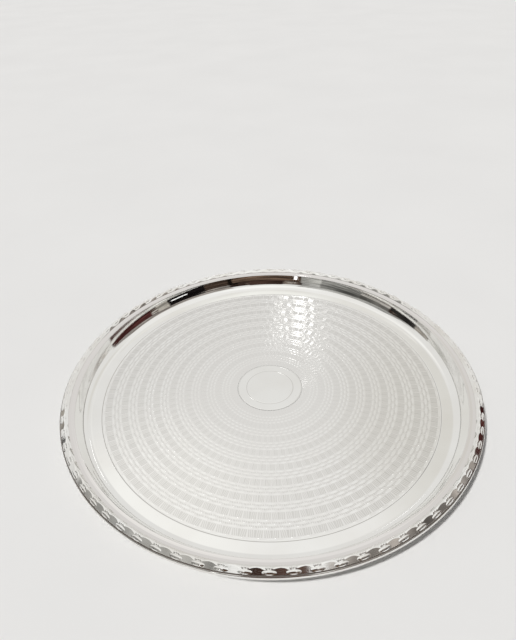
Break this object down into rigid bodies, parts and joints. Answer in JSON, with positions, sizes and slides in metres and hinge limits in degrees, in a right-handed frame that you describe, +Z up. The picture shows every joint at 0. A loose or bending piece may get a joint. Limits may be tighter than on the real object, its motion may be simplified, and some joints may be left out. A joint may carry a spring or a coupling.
{
  "type": "round serving salver",
  "caption": "Round metal salver with an engine-turned flat floor, a low steep wall, a flat border and a raised gadroon-and-bead edge.",
  "frame": {"origin": "centre of the salver, on the plane of its flat underside", "axes": "+Z up through the floor, the salver's axis of symmetry; +X and +Y lie in the plane it rests on, and no direction in that plane is special"},
  "size_m": [0.305, 0.305, 0.0157],
  "materials": {
    "polished_silver_plate": "bright polish, engine-turned on the floor",
    "struck_silver": "bright polish with darker tarnish left in the hollows",
    "soft_solder": "dull cast lead-tin filling",
    "drawn_silver_wire": "bright polish, worn along the edge"
  },
  "bodies": {
    "root": {"tray_plate": "polished_silver_plate", "border_mount": "struck_silver", "mount_filling": "soft_solder", "edge_wire": "drawn_silver_wire"}
  },
  "joints": []
}
